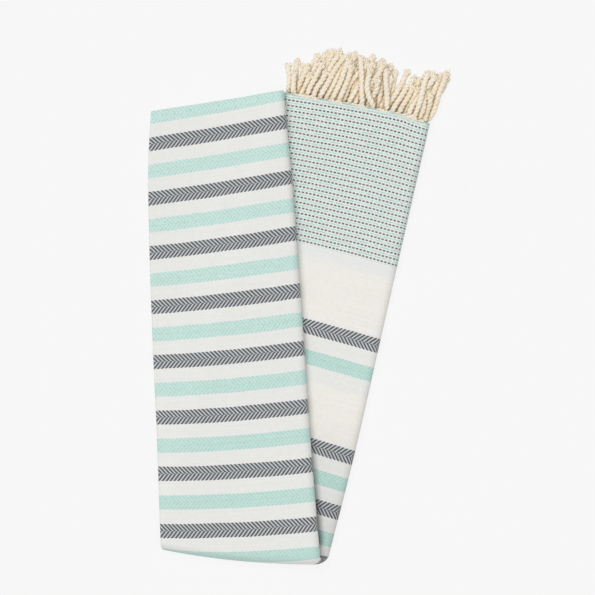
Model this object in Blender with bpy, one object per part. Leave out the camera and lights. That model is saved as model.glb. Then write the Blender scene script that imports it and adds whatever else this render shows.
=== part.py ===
"""A fringed hammam towel, folded to a strip twelve layers thick and bent once more into two legs.

Metres, +Z up, the towel lying on Z = 0. The sheet is folded in four steps, each a function below:
1. crosswise in half, which brings the two fringed ends together;
2. lengthwise back and forth into thirds;
3. lengthwise in half, over a round spine on the right;
4. across the strip at an angle, so that the front leg lies over the back leg and beside it.
"""

import math

import bmesh
import bpy
import numpy as np

# The cloth, unfolded
TOWEL_WIDTH = 0.900
TOWEL_LENGTH = 1.800
CLOTH_THICKNESS = 0.0010
LAYER_GAP = 0.0002
THIRDS = 3

# Heights of the folded stack, step by step
PAIR_HEIGHT = 2 * CLOTH_THICKNESS + LAYER_GAP
STACK_HEIGHT = THIRDS * PAIR_HEIGHT + (THIRDS - 1) * LAYER_GAP
STRIP_HEIGHT = 2 * STACK_HEIGHT + LAYER_GAP
LEG_GAP = 0.0006
LAYER_PITCH = CLOTH_THICKNESS + LAYER_GAP

# How far each turn bulges, as a share of a round turn
EDGE_SQUASH = 0.75
SPINE_SQUASH = 0.70
BEND_SQUASH = 0.60

# The strip's own width: a flat run, the spine's arc, and the same flat run back
THIRD_WIDTH = TOWEL_WIDTH / THIRDS
SPINE_ARC = math.pi * (STACK_HEIGHT + LAYER_GAP) / 2
FLAT_WIDTH = (THIRD_WIDTH - SPINE_ARC) / 2
LEFT_BULGE = EDGE_SQUASH * (PAIR_HEIGHT + LAYER_GAP / 2)
RIGHT_BULGE = SPINE_SQUASH * (STACK_HEIGHT + LAYER_GAP / 2)
FREE_EDGE_RECESS = 0.003

# The legs' edges as they lie, seen from above, in even steps.
# Columns: left x, left y, right x, right y
BACK_LEG = (  # from the hem down to the bend
    (-0.0102, 0.2061, 0.1280, 0.1761),
    (-0.0403, 0.0955, 0.1038, 0.0703),
    (-0.0703, -0.0146, 0.0798, -0.0354),
    (-0.0990, -0.1206, 0.0558, -0.1411),
    (-0.1276, -0.2270, 0.0306, -0.2405),
)
FRONT_LEG = (  # from the bend up to the crosswise fold
    (-0.1324, -0.2255, 0.0218, -0.2405),
    (-0.1363, -0.1265, 0.0131, -0.1334),
    (-0.1411, -0.0218, 0.0053, -0.0189),
    (-0.1438, 0.0839, -0.0029, 0.0955),
    (-0.1411, 0.1896, -0.0131, 0.2095),
)
HEM_BOW = 0.0024
BEND_BOW = 0.0042

# The front leg comes down from the back leg to the surface over this width
DROP_START = 0.006
DROP_WIDTH = 0.042

# Mesh steps
FLAT_STEPS = 5
EDGE_STEPS = 3
SPINE_STEPS = 5
BACK_STEPS = 4
BEND_STEPS = 6
FRONT_STEPS = 11

# The fringe: strands in lanes side by side, four layers of cloth to each tier of strands
PIECE_GAP = 0.0003
HEM_STRIP = 0.0030
TIER_LAYERS = 4
LANES = 22
LANE_MARGIN = 0.0048
TIER_SHIFT = 0.0021
ROOT_WIDTH = 0.0032
STRAND_WIDTH = 0.0044
LENGTH_SPREAD = 0.002  # strands differ by this, over quick waves along the hem
LENGTH_WAVE = 37.0
TIER_PHASE = 2.1
KNOT_WIDTH = 0.0051
TIP_WIDTH = 0.0026
TIER_CENTRES = (STRAND_WIDTH / 2, 0.0078, 0.0134)
# The strands as they lie, in even steps from the left end of the hem.
# Columns: lean to the right of +Y in degrees, length
STRAND_LAY = (
    (-2, 0.033),
    (8, 0.042),
    (15, 0.0452),
    (17, 0.048),
    (18, 0.043),
    (21, 0.047),
    (27, 0.0538),
)
# Columns: share of the strand's length, width, height
STRAND_RINGS = (
    (0.16, STRAND_WIDTH, STRAND_WIDTH),
    (0.50, STRAND_WIDTH, STRAND_WIDTH),
    (0.84, STRAND_WIDTH, STRAND_WIDTH),
    (0.92, KNOT_WIDTH, STRAND_WIDTH),
    (1.00, TIP_WIDTH, TIP_WIDTH),
)

CLOTH_COLOUR = (0.80, 0.81, 0.76)
FRINGE_COLOUR = (0.78, 0.70, 0.54)


def clear_scene():
    for item in list(bpy.data.objects):
        bpy.data.objects.remove(item, do_unlink=True)


def fabric(name, colour):
    """A matt woven material."""
    material = bpy.data.materials.new(name)
    material.use_nodes = True
    shader = material.node_tree.nodes["Principled BSDF"]
    shader.inputs["Base Color"].default_value = (*colour, 1.0)
    shader.inputs["Roughness"].default_value = 0.9
    shader.inputs["Metallic"].default_value = 0.0
    return material


def curve_through(table, share):
    """The table's columns at a share of its length, on a smooth curve through its even rows."""
    rows = np.array(table)
    slopes = np.gradient(rows, axis=0)
    place = np.asarray(share, float) * (len(rows) - 1)
    row = np.clip(np.floor(place).astype(int), 0, len(rows) - 2)
    t = (place - row)[..., None]
    return (
        (2 * t**3 - 3 * t**2 + 1) * rows[row]
        + (t**3 - 2 * t**2 + t) * slopes[row]
        + (3 * t**2 - 2 * t**3) * rows[row + 1]
        + (t**3 - t**2) * slopes[row + 1]
    )


def unit(vector):
    return vector / np.linalg.norm(vector)


def row_middle(row):
    return np.array((row[0] + row[2], row[1] + row[3])) / 2


def leg_length(table):
    return np.linalg.norm(row_middle(table[-1]) - row_middle(table[0]))


def leg_plan(table, across, along, bow):
    """Plan points of one leg: shares across and along it, with its rows bowed along it."""
    edges = curve_through(table, along)
    across = across[..., None]
    straight = edges[..., :2] * (1 - across) + edges[..., 2:] * across
    axis = unit(row_middle(table[-1]) - row_middle(table[0]))
    return straight + axis * bow[..., None] * 4 * across * (1 - across)


def fold_crosswise(face, curl):
    """Step 1: the sheet's height and overhang where its second half is turned over the first."""
    radius = CLOTH_THICKNESS + LAYER_GAP / 2 - face
    height = CLOTH_THICKNESS + LAYER_GAP / 2 - radius * np.cos(curl)
    return EDGE_SQUASH * radius * np.sin(curl), height


def fold_in_thirds(third, x, turn, z):
    """Step 2: the pair of layers laid back and forth, turning first at the left."""
    turned = third % 2 == 1
    radius = np.where(turned, z, PAIR_HEIGHT - z) + LAYER_GAP / 2
    centre = third * (PAIR_HEIGHT + LAYER_GAP) + PAIR_HEIGHT + LAYER_GAP / 2
    side = np.where(turned, 1, -1)
    return x + side * EDGE_SQUASH * radius * np.sin(turn), centre - radius * np.cos(turn)


def fold_in_half(x, z):
    """Step 3: what lies beyond the spine goes up and over it."""
    angle = np.clip((x - FLAT_WIDTH) / SPINE_ARC * math.pi, 0, math.pi)
    beyond = np.maximum(x - FLAT_WIDTH - SPINE_ARC, 0)
    radius = STACK_HEIGHT + LAYER_GAP / 2 - z
    folded_x = np.minimum(x, FLAT_WIDTH) - beyond + SPINE_SQUASH * radius * np.sin(angle)
    return folded_x, STACK_HEIGHT + LAYER_GAP / 2 - radius * np.cos(angle)


def bend_strip(x, z, back, bend, front):
    """Step 4: the strip laid out as two legs, and the front one let down beside the back one."""
    across = (x + LEFT_BULGE) / (FLAT_WIDTH + LEFT_BULGE + RIGHT_BULGE)
    radius = STRIP_HEIGHT + LEG_GAP / 2 - z
    turned = (1 - np.cos(bend)) / 2
    lower = leg_plan(BACK_LEG, across, back, BEND_BOW * back - HEM_BOW * (1 - back))
    upper = leg_plan(FRONT_LEG, across, front, -BEND_BOW * (1 - front))
    fold = np.array(FRONT_LEG[0][2:]) - np.array(FRONT_LEG[0][:2])
    outward = unit(np.array((fold[1], -fold[0])))
    bulge = (BEND_SQUASH * radius * np.sin(bend))[..., None] * outward
    plan = lower * (1 - turned[..., None]) + upper * turned[..., None] + bulge
    edge_top, edge_bottom = np.array(BACK_LEG[0][:2]), np.array(BACK_LEG[-1][:2])
    edge = unit(edge_top - edge_bottom)
    beside = (plan - edge_bottom) @ np.array((-edge[1], edge[0]))
    share = np.clip((beside - DROP_START) / DROP_WIDTH, 0, 1)
    drop = (STRIP_HEIGHT + LEG_GAP) * share**2 * (3 - 2 * share) * turned
    height = STRIP_HEIGHT + LEG_GAP / 2 - radius * np.cos(bend) - drop
    return np.concatenate((plan, height[..., None]), axis=-1)


def folded(width_stations, length_stations, faces):
    """Points of the folded sheet, by width station, length station and height in the sheet."""
    third, x, turn = (c[:, None, None] for c in np.array(width_stations).T)
    back, bend, front, curl = (c[None, :, None] for c in np.array(length_stations).T)
    overhang, z = fold_crosswise(np.array(faces)[None, None, :], curl)
    x, z = fold_in_thirds(third, x, turn, z)
    x, z = fold_in_half(x, z)
    front = front + overhang / leg_length(FRONT_LEG)
    return bend_strip(*np.broadcast_arrays(x, z, back, bend, front))


def even_steps(start, end, steps):
    """Values after start, up to and with end."""
    return [start + (end - start) * k / steps for k in range(1, steps + 1)]


def third_ends(third):
    """A third's left and right end: at its turns, or a little short of them at a free edge."""
    left = FREE_EDGE_RECESS if third == THIRDS - 1 else 0.0
    right = THIRD_WIDTH - FREE_EDGE_RECESS if third == 0 else THIRD_WIDTH
    return left, right


def spine_run():
    """Stations over the spine, from where it starts to where it ends."""
    return [FLAT_WIDTH, *even_steps(FLAT_WIDTH, FLAT_WIDTH + SPINE_ARC, SPINE_STEPS)]


def cloth_run(third):
    """Stations along one third of the cloth, from left to right."""
    flat = [0.0, FREE_EDGE_RECESS, *even_steps(FREE_EDGE_RECESS, FLAT_WIDTH, FLAT_STEPS)[:-1]]
    run = flat + spine_run() + [THIRD_WIDTH - x for x in reversed(flat)]
    left, right = third_ends(third)
    return [x for x in run if left <= x <= right]


def edge_turn(third):
    """Stations round the turn that joins one third to the next, and none after the last."""
    end = THIRD_WIDTH if third % 2 else 0.0
    angles = even_steps(0, math.pi, EDGE_STEPS)[:-1] if third < THIRDS - 1 else []
    return [(third, end, angle) for angle in angles]


def cloth_width_stations():
    """Columns: third, x along it, turn."""
    stations = []
    for third in range(THIRDS):
        run = cloth_run(third) if third % 2 else cloth_run(third)[::-1]
        stations += [(third, x, 0.0) for x in run] + edge_turn(third)
    return stations


def cloth_length_stations():
    """Columns: share of the back leg, bend, share of the front leg, crosswise curl."""
    half = [(share, 0.0, 0.0) for share in (0.0, *even_steps(0, 1, BACK_STEPS))]
    half += [(1.0, angle, 0.0) for angle in even_steps(0, math.pi, BEND_STEPS)]
    half += [(1.0, math.pi, share) for share in even_steps(0, 1, FRONT_STEPS)]
    first = [(*row, 0.0) for row in half]
    curl = [(*half[-1], angle) for angle in even_steps(0, math.pi, EDGE_STEPS)[:-1]]
    return first + curl + [(*row, math.pi) for row in reversed(half)]


def cell_split(station, following):
    """+1 where the folded cloth runs to the right between two width stations, -1 to the left."""
    rising = following[1] > station[1] or following[2] > station[2]
    over_spine = (station[1] + following[1]) / 2 > FLAT_WIDTH + SPINE_ARC
    return 1 if rising != over_spine else -1


def cloth_mesh():
    """Both faces of the sheet and its four rims. Stacked layers share the same diagonals."""
    widths, lengths = cloth_width_stations(), cloth_length_stations()
    points = folded(widths, lengths, (0.0, CLOTH_THICKNESS))
    mesh = bmesh.new()
    verts = {key: mesh.verts.new(points[key]) for key in np.ndindex(points.shape[:3])}
    last_i, last_j = len(widths) - 1, len(lengths) - 1
    for i in range(last_i):
        for j in range(last_j):
            first_half = 2 * j < last_j
            leans = cell_split(widths[i], widths[i + 1]) == (1 if first_half else -1)
            for face in (0, 1):
                a, b = verts[i, j, face], verts[i + 1, j, face]
                c, d = verts[i + 1, j + 1, face], verts[i, j + 1, face]
                for corners in (((a, b, c), (a, c, d)) if leans else ((a, b, d), (b, c, d))):
                    mesh.faces.new(corners)
    rim = [(i, 0) for i in range(last_i)] + [(last_i, j) for j in range(last_j)]
    rim += [(i, last_j) for i in range(last_i, 0, -1)] + [(0, j) for j in range(last_j, 0, -1)]
    for (i, j), (k, m) in zip(rim, rim[1:] + rim[:1]):
        mesh.faces.new((verts[i, j, 0], verts[k, m, 0], verts[k, m, 1], verts[i, j, 1]))
    return mesh


def layer_of(third, over_spine, curl):
    """The layer's number in the strip, counted up from the surface."""
    x = THIRD_WIDTH if over_spine else 0.0
    overhang, z = fold_crosswise(CLOTH_THICKNESS / 2, curl)
    x, z = fold_in_thirds(third, x + overhang, 0.0, z)
    return int(fold_in_half(x, z)[1] / LAYER_PITCH)


def strand_places(third, curl):
    """Where strands leave one third of a hem, as x along it, each with its tier."""
    room = FLAT_WIDTH - 2 * LANE_MARGIN - (len(TIER_CENTRES) - 1) * TIER_SHIFT
    places = []
    for over_spine in (False, True):
        tier, first_lane = divmod(layer_of(third, over_spine, curl), TIER_LAYERS)
        for lane in range(first_lane, LANES, TIER_LAYERS):
            x = LANE_MARGIN + tier * TIER_SHIFT + room * lane / (LANES - 1)
            places.append((THIRD_WIDTH - x if over_spine else x, tier))
    return places


def hem_stations(curl):
    """Width stations of one hem strip, each with the tier of the strand that starts there."""
    rows = []
    for third in range(THIRDS):
        run = [(x, None) for x in (*third_ends(third), *spine_run())]
        for x, tier in strand_places(third, curl):
            sides = (x - ROOT_WIDTH / 2, x + ROOT_WIDTH / 2)
            run += zip(sides if third % 2 else sides[::-1], (tier, None))
        run.sort(key=lambda row: row[0], reverse=third % 2 == 0)
        rows += [((third, x, 0.0), tier) for x, tier in run]
        rows += [(station, None) for station in edge_turn(third)]
    return zip(*rows)


def strand_sections(root, tier):
    """Rings of four points after the root's own four, out along one strand to its tip."""
    start = root.mean(axis=0)
    hem_left, hem_right = np.array(BACK_LEG[0][:2]), np.array(BACK_LEG[0][2:])
    hem = hem_right - hem_left
    place = float(np.clip((start[:2] - hem_left) @ hem / (hem @ hem), 0, 1))
    degrees, length = curve_through(STRAND_LAY, place)
    lean = math.radians(degrees)
    length += LENGTH_SPREAD * math.sin(LENGTH_WAVE * place + TIER_PHASE * tier)
    ahead = np.array((math.sin(lean), math.cos(lean), 0.0))
    beside = np.array((ahead[1], -ahead[0], 0.0))
    beside *= math.copysign(1, (root[1] - root[0]) @ beside)
    up = np.array((0.0, 0.0, math.copysign(1, (root[3] - root[0])[2])))
    rings = []
    for share, width, height in STRAND_RINGS:
        centre = start + ahead * length * share
        centre[2] = max(TIER_CENTRES[tier], height / 2)
        corners = ((-1, -1), (1, -1), (1, 1), (-1, 1))
        rings.append([centre + beside * s * width / 2 + up * u * height / 2 for s, u in corners])
    return rings


def join_rings(mesh, ring, following):
    for k in range(4):
        mesh.faces.new((ring[k], ring[k - 1], following[k - 1], following[k]))


def fringe_mesh(curl):
    """One end's fringe: a narrow strip along the hem, with its strands drawn out of its outer rim."""
    stations, tiers = hem_stations(curl)
    beyond_hem = (PIECE_GAP, PIECE_GAP + HEM_STRIP)
    lengths = [(-distance / leg_length(BACK_LEG), 0.0, 0.0, curl) for distance in beyond_hem]
    points = folded(stations, lengths, (0.0, CLOTH_THICKNESS))
    mesh = bmesh.new()
    rings = [[mesh.verts.new(points[i][key]) for key in ((0, 0), (1, 0), (1, 1), (0, 1))]
             for i in range(len(stations))]
    mesh.faces.new(rings[0])
    mesh.faces.new(rings[-1])
    for ring, following, tier in zip(rings, rings[1:], tiers):
        for k in (0, 2, 3):
            after = (k + 1) % 4
            mesh.faces.new((ring[k], ring[after], following[after], following[k]))
        root = [ring[1], following[1], following[2], ring[2]]
        if tier is None:
            mesh.faces.new(root)
            continue
        for section in strand_sections(np.array([v.co for v in root]), tier):
            drawn = [mesh.verts.new(point) for point in section]
            join_rings(mesh, root, drawn)
            root = drawn
        mesh.faces.new(root)
    return mesh


def add_piece(name, mesh, material):
    bmesh.ops.recalc_face_normals(mesh, faces=mesh.faces)
    data = bpy.data.meshes.new(name)
    mesh.to_mesh(data)
    mesh.free()
    data.materials.append(material)
    bpy.context.scene.collection.objects.link(bpy.data.objects.new(name, data))


def main():
    clear_scene()
    add_piece("towel_cloth", cloth_mesh(), fabric("woven_cotton", CLOTH_COLOUR))
    twine = fabric("fringe_twine", FRINGE_COLOUR)
    add_piece("fringe_first_end", fringe_mesh(0.0), twine)
    add_piece("fringe_second_end", fringe_mesh(math.pi), twine)


main()
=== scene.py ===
"""The looks of a fringed hammam towel that lies folded on the floor, seen from straight above.

Metres, +Z up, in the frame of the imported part. The cloth is one thin sheet, folded by the part's
own steps at a finer pitch. Every point of it carries its place in the unfolded fabric as UVs, and
the woven pattern is worked out there by nodes. The fringe is twisted cords with knots and tufts.
"""

import math

import bpy
import numpy as np
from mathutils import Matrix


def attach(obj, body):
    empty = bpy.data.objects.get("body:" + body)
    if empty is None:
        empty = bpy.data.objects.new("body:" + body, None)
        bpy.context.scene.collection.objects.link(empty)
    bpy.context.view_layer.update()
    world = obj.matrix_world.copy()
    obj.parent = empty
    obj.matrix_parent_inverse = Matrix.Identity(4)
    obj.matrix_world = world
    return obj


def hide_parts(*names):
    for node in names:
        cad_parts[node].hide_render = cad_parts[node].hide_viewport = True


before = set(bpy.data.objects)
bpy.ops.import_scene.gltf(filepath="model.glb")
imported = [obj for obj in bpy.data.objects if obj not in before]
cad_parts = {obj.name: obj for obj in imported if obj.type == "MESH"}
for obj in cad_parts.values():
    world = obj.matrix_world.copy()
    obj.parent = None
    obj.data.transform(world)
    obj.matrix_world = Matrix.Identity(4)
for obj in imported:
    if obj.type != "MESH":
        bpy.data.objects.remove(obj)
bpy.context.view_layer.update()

# ---- the part's own sizes
TOWEL_WIDTH = 0.900
TOWEL_LENGTH = 1.800
CLOTH_THICKNESS = 0.0010
LAYER_GAP = 0.0002
THIRDS = 3
PAIR_HEIGHT = 2 * CLOTH_THICKNESS + LAYER_GAP
STACK_HEIGHT = THIRDS * PAIR_HEIGHT + (THIRDS - 1) * LAYER_GAP
STRIP_HEIGHT = 2 * STACK_HEIGHT + LAYER_GAP
LEG_GAP = 0.0006
LAYER_PITCH = CLOTH_THICKNESS + LAYER_GAP
EDGE_SQUASH = 0.75
SPINE_SQUASH = 1.15  # rounder than the part's, as the soft cloth shows
BEND_SQUASH = 0.60
THIRD_WIDTH = TOWEL_WIDTH / THIRDS
SPINE_ARC = math.pi * (STACK_HEIGHT + LAYER_GAP) / 2
FLAT_WIDTH = (THIRD_WIDTH - SPINE_ARC) / 2
LEFT_BULGE = EDGE_SQUASH * (PAIR_HEIGHT + LAYER_GAP / 2)
RIGHT_BULGE = SPINE_SQUASH * (STACK_HEIGHT + LAYER_GAP / 2)
STRIP_WIDTH = FLAT_WIDTH + LEFT_BULGE + RIGHT_BULGE
FREE_EDGE_RECESS = 0.0005  # less than the part's, as the selvedge reaches the strip's edge

# The legs' edges as they lie, seen from above, in even steps.
# Columns: left x, left y, right x, right y
BACK_LEG = np.array((  # from the hem down to the bend
    (-0.0102, 0.2061, 0.1280, 0.1761),
    (-0.0403, 0.0955, 0.1038, 0.0703),
    (-0.0703, -0.0146, 0.0798, -0.0354),
    (-0.0990, -0.1206, 0.0558, -0.1411),
    (-0.1276, -0.2270, 0.0306, -0.2405),
))
FRONT_LEG = np.array((  # from the bend up to the crosswise fold
    (-0.1324, -0.2255, 0.0218, -0.2405),
    (-0.1363, -0.1265, 0.0131, -0.1334),
    (-0.1411, -0.0218, 0.0053, -0.0189),
    (-0.1438, 0.0839, -0.0029, 0.0955),
    (-0.1411, 0.1896, -0.0131, 0.2095),
))
HEM_BOW = 0.0024  # how far the rows bow along the leg at the hem
BEND_BOW = 0.0042  # and at the bend
DROP_START = 0.006  # how far beside the back leg the front one starts to come down
DROP_WIDTH = 0.042  # and over how much further it reaches the surface

# ---- the fabric on the legs
# Where the legs' rows are in the fabric, as metres from the first hem.
# Columns: at the left edge, at the right edge, further along in the middle
BACK_FABRIC = (
    (0.0, 0.0, 0.0),
    (0.1151, 0.1060, 0.0006),
    (0.2306, 0.2113, 0.0010),
    (0.3446, 0.3185, 0.0021),
    (0.4404, 0.4203, 0.0075),
)
FRONT_FABRIC = (
    (0.4787, 0.4584, -0.0023),
    (0.5779, 0.5609, -0.0012),
    (0.6852, 0.6729, -0.0008),
    (0.7953, 0.7865, -0.0002),
    (0.9053, 0.9030, 0.0),
)
CURL_RUN = 0.0019  # the fabric's run over the crosswise fold, to its middle
TURN_RUN = 0.0036  # and round each turn between the thirds
BEND_LAG = 0.012  # how far the fabric lags round the bend at its right end, where it is drawn tight
BEND_LAG_FADE = 24  # how fast this fades to the left, as a power of the share across
BEND_LAG_LATE = 1.5  # and how far round the bend it is largest: 1 is halfway, and more is later
SPINE_FABRIC = 0.150  # the fabric's width from its first selvedge to the spine

# How far the rows of the back leg lie beyond the part's own, near the hem.
# Columns: share across the strip, at the hem itself, further in
HEM_LIFT = (
    (0.00, 0.0013, 0.0000),
    (0.30, 0.0008, 0.0003),
    (0.50, 0.0017, 0.0008),
    (0.68, 0.0022, 0.0011),
    (0.83, 0.0030, 0.0010),
    (0.86, 0.0012, 0.0008),
    (1.00, 0.0006, 0.0006),
)
HEM_LIFT_RUN = 0.012
HEM_LIFT_END = 0.100
# How far the hem's left corner stands out, and how far along the cloth this fades
HEM_FLARE = 0.0034
HEM_FLARE_RUN = 0.022
# Where the front leg's left edge swells a little, as a share along it and its reach
SWELL_PLACE = 0.90
SWELL_RUN = 0.13
SWELL = 0.0021

# Soft troughs across the folded strip.
# Columns: start x, start y, end x, end y, width, share of the height that is lost
TROUGHS = (
    (-0.150, 0.118, -0.020, 0.148, 0.020, 0.040),
    (-0.146, -0.030, -0.060, -0.012, 0.026, 0.050),
    (-0.120, -0.170, 0.010, -0.150, 0.022, 0.045),
    (0.030, 0.110, 0.108, 0.076, 0.018, 0.040),
    (0.040, -0.040, 0.074, -0.062, 0.016, 0.045),
    (-0.090, 0.190, -0.070, 0.060, 0.014, 0.030),
)
TROUGH_END = 0.04  # the share of its run at each end where a trough gets no shallower
RIPPLE = 0.022  # the height's share that rises and falls all over
# Columns: waves per metre along x and y, phase
RIPPLE_WAVES = ((9.0, 4.0, 0.4), (-5.0, 11.0, 1.9), (17.0, -7.0, 3.1), (4.0, 23.0, 5.0))

# Mesh steps
FLAT_STEPS = 28
EDGE_STEPS = 6
SPINE_STEPS = 14
HEM_STEPS = 6
HEM_SHARE = 0.05  # of the back leg, which has the finer rows
BACK_STEPS = 34
BEND_STEPS = 10
FRONT_STEPS = 44

# ---- the woven pattern
STRIPE_PITCH = 0.02745
STRIPE_HALF = 0.0068
MIDDLE = TOWEL_LENGTH / 2
STRIPES_FROM_MIDDLE = 21
FIRST_STRIPE = MIDDLE - STRIPES_FROM_MIDDLE * STRIPE_PITCH
FIRST_DARK = 0.2134
FIRST_TEAL = 0.2417
CHEVRON_PITCH = 0.00388
CHEVRON_SLANT = 0.86
CHEVRON_DARK_SHARE = 0.55
CHEVRON_TEAL_SHARE = 0.40
CHEVRON_ROUNDING = 0.0006
CHEVRON_SOFT = 0.29  # share of the pitch over which a line's edge fades
STRIPE_FADE = (-0.0001, 0.0005)  # from and to, beyond the stripe's half
DASH_START = 0.0048
DASH_ROW_PITCH = 0.005025
DASH_ROWS = 27
DASH_LENGTH = 0.00223
DASH_HEIGHT = 0.00148
DASH_PITCH = 0.00372
DASH_UNEVEN = 0.24  # share by which the dashes differ in length
DASH_FADES = (0.14, 0.0003)  # along a dash, as a share of the pitch, and across it in metres
DASH_WEAR = 0.2
DASH_GAP_SHARE = 0.3
DASH_ZONE_END = 0.1377
DASH_ZONE_FADE = 0.0004
BAND_FADE = 0.006
COOL_WHITE_END = 0.149
CREAM_END = 0.205
WHITE_END = 0.2645
LAST_CREAM_END = 0.3160
LAST_CREAM_FADE = 0.003
WEFTS_PER_ROW = 2
THREAD_PITCH = 0.0024
# How the rows and the threads wander. Columns: noise scale, metres
ROW_WANDER = (34.0, 0.0012)
THREAD_WANDER = (60.0, 0.0005)
SLUB_SCALES = (12.0, 900.0)  # across and along
MOTTLE_SCALE = 240.0
SPOT_SCALE = 380.0
GRAIN_SCALE = 700.0
NOISE_BAND = (0.35, 0.65)  # where noise turns from nothing to all
MINT_WEFTS = (0.35, 0.75)  # where a mint weft turns from covered to bare
SPINE_SHADE_REACH = (0.016, 0.002)  # how far before the spine the painted shade of its rounded edge starts, as more mint, and is full
# How much the warp, the spots and the spine's painted shade add to the mint. Columns: where they are,
# everywhere
MINT_BY_WARP = (0.4, 0.5)
MINT_BY_SPOT = (0.8, 0.4)
MINT_BY_SPINE_SHADE = (0.35, 0.04)
TEAL_CHANGE = (0.30, 0.85)  # where the teal ground turns paler
WORN = 0.10  # how much mottle and slub change the colour
# The relief in metres, and what adds to it
CLOTH_RELIEF = 0.00016
WEAVE_RELIEF = 0.35
MOTTLE_RELIEF = 0.8
CHEVRON_RELIEF = 0.9
DASH_RELIEF = 1.2
# Painted shade: how the back leg is darkened towards the bend, where it lies low beside the front leg.
# Columns: from and to, in metres from the first hem, share of the light that is lost
LOW_SHADES = ((0.268, 0.340, 0.07), (0.345, 0.400, 0.07))
LOW_SHADE_END = (0.430, 0.445)
# Painted shadow of the front leg's edge on the back leg: how far it reaches out from that edge, and how
# it grows and fades towards the bend. Columns: from and to, in metres below the origin, share that this
# adds
EDGE_SHADE_REACH = (-0.001, 0.0078)
EDGE_SHADES = ((0.095, 0.205, 0.57), (0.212, 0.222, 0.18), (0.226, 0.235, -0.50))

# ---- the fringe
TIER_LAYERS = 4
LANES = 22
LANE_MARGIN = 0.0048
TIER_SHIFT = 0.0021
STRAND_START = 0.0033
TIER_CENTRES = (0.0022, 0.0078, 0.0134)
# The strands as they lie, in even steps from the left end of the hem.
# Columns: lean to the right of +Y in degrees, length
STRAND_LAY = (
    (-2, 0.033),
    (8, 0.042),
    (15, 0.0452),
    (17, 0.048),
    (18, 0.043),
    (21, 0.047),
    (27, 0.0538),
)
# How the cords lie beside the part's strands.
# Columns: share across the hem, further lean in degrees, further reach, further along the hem
CORD_LAY = (
    (0.00, 2, -0.0050, 0.0),
    (0.08, 10, 0.0020, 0.0),
    (0.18, 18, 0.0075, 0.0),
    (0.35, 20, 0.0075, 0.0),
    (0.48, 4, 0.0050, 0.0005),
    (0.58, -8, 0.0020, 0.0015),
    (0.68, -4, -0.0010, 0.0025),
    (0.76, 16, 0.0, 0.0040),
    (0.84, 11, 0.0030, 0.0060),
    (0.90, -4, 0.0025, 0.0075),
    (0.94, -16, 0.0020, 0.0080),
    (1.00, -18, 0.0010, 0.0080),
)
SEED = 11
ROOT_SPREAD = 0.0018  # how unevenly the cords leave the hem
END_HOLD = 0.8  # how much less the outermost cords stray
CORD_WIDTH = 0.0061
CORD_TURN = 0.0088
CORD_POINTS = 13
CURVE_PIVOT = 0.4  # the share of a curved cord's length where it has its lean
CORD_RING_STEP = 0.0009
PLY_RADIUS = 0.00195
PLY_SIDES = 9
PLY_ROOT = 0.7  # share of its radius that a ply has at the hem
PLY_ROOT_SHARE = 12  # it has the whole of it after one part in this many of its length
LEAN_SPREAD = 19.0  # degrees
CURVE_SPREAD = 40.0
WAVE_SPREAD = 18.0
LENGTH_SPREAD = 0.0020
SHORT_REACH = 0.026  # how much shorter the shortest cords are
SHORT_POWERS = (4.0, 3.0, 1.1)  # by tier: the smaller, the more of its cords are short
GATHER_LENGTH = 0.0024
GATHER_SPREAD = 0.46  # of the room between neighbouring gathers
GATHER_YARNS = 12
YARN_RADIUS = 0.00085
YARN_RADII = (0.85, 1.15)  # shares of it, from the thinnest yarn to the thickest
YARN_TAPER = (0.6, 0.3)  # share that a yarn is thinner at the hem and in the cord
YARN_SIDES = 6
YARN_RINGS = 9
YARN_ROOT = 0.0014  # how far inside the hem a yarn starts
YARN_PULLS = (0.0014, 0.0020)  # how far it runs straight out of the hem and into the cord
YARN_STRAY = 0.0004
YARN_JOIN = 4  # the ply's ring where a yarn ends
TONGUE_REACH = 0.0022  # how far the cloth's end stands out between gathers
TONGUE_SHARES = (1.0, 0.3, 1.0, 0.5, 0.6, 0.8, 0.3)
HEM_DIP = 0.0002  # and how far it is drawn in at each gather
KNOT_SCALE = 0.00088
KNOT_LIFT = 1.1
KNOT_TURN = 0.5  # radians to either side
KNOT_RADIUS = 0.0015
KNOT_SIDES = 6
KNOT_RINGS = 30
KNOT_REACH = 0.0044
TUFT_FIBRES = 11
TUFT_LENGTH = 0.0027
TUFT_LENGTHS = (0.6, 1.1)  # shares of it, from the shortest fibre to the longest
TUFT_RADIUS = 0.00084
TUFT_TAPER = (1.0, 1.0, 0.9, 0.5)
TUFT_SIDES = 5
TUFT_START = 0.001  # how far beyond the knot's middle
TUFT_ROOT = 0.0011
TUFT_SPREAD = (0.36, 0.36, 0.22)
TUFT_BEND = 0.35
COVER_REACH = 0.010  # how far aside a cord still covers what lies below it
SETTLE_STEPS = 140
SETTLE_FALL = 0.00025
SETTLE_ASIDE = 0.4  # share of a push that goes sideways
# Shares by which cords that overlap are pushed apart, kinks are smoothed and plans are kept
SETTLE_PUSH = 0.3
SETTLE_SMOOTH = 0.3
SETTLE_KEEP = 0.06
TINY = 1e-9
NEARLY_UP = (0.05, 0.02, 1.0)  # a direction that no thread runs along

# ---- the photograph's view
PHOTO_PIXELS = 595
METRES_PER_PIXEL = 0.00097
PHOTO_CENTRE = (0.0, 0.0097)
CAMERA_HEIGHT = 4.0
SENSOR = 36.0  # mm
FLOOR_HALF = 4.0
FLOOR_LEVEL = -0.0004
FLOOR_SHADE_DEPTH = (0.002, 0.010)  # how far inside a leg's outline the painted shade fades the glow out, from and to
FLOOR_GREY = 0.10
FLOOR_GLOW = 0.829
WINDOW_STRENGTH = 2.0
WINDOW_SPREAD = 50.0  # degrees
WINDOW_TILT = (-6.0, -10.0)
STUDIO_STRENGTH = 0.42


def linear(red, green, blue):
    """A colour given in 8-bit display values, as the shader wants it."""
    shares = [c / 255 for c in (red, green, blue)]
    return [s / 12.92 if s <= 0.04045 else ((s + 0.055) / 1.055) ** 2.4 for s in shares] + [1.0]


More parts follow.
